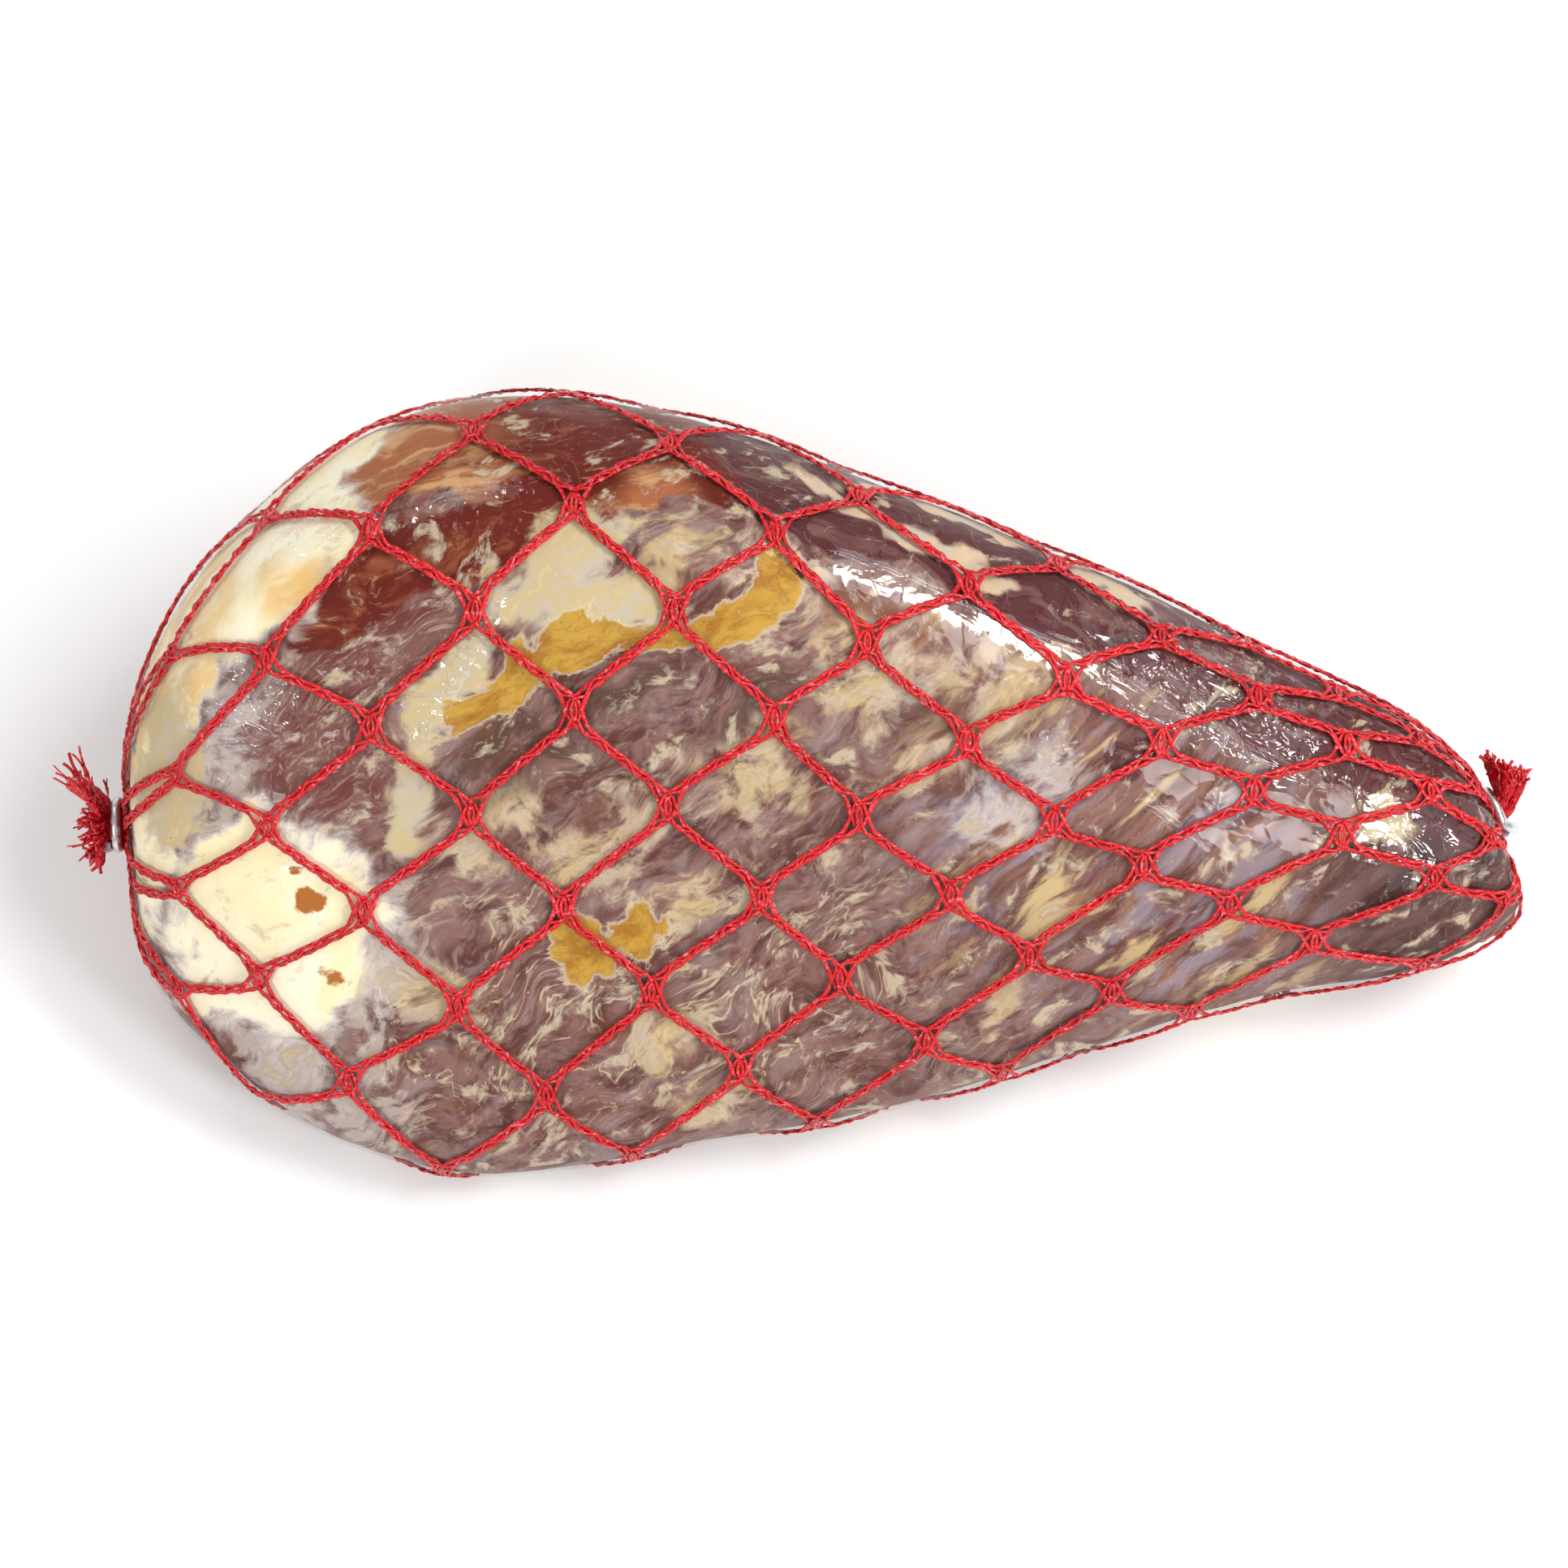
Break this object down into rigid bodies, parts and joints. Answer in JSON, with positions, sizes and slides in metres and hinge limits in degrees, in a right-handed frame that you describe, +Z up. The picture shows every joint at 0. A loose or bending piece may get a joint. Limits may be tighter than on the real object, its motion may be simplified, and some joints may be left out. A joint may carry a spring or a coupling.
{
  "type": "boneless serrano ham in a net",
  "caption": "Pear-shaped boneless dry-cured ham, vacuum packed in clear film, in a red knitted net gathered at both ends by wire clips.",
  "frame": {"origin": "middle of the underside of the bounding box, on the surface that the ham lies on", "axes": "+X from the butt end to the shank end, +Z up, -Y towards the thin lower edge of the broad face"},
  "size_m": [0.4346, 0.2242, 0.1384],
  "materials": {
    "ham": "cured meat and fat under clear glossy film",
    "net": "red knitted plastic tape, slightly shiny",
    "clips": "drawn wire, satin"
  },
  "bodies": {
    "root": {"ham_in_film": "ham", "net": "net", "fray_butt": "net", "fray_shank": "net", "clip_butt": "clips", "clip_shank": "clips"}
  },
  "joints": []
}
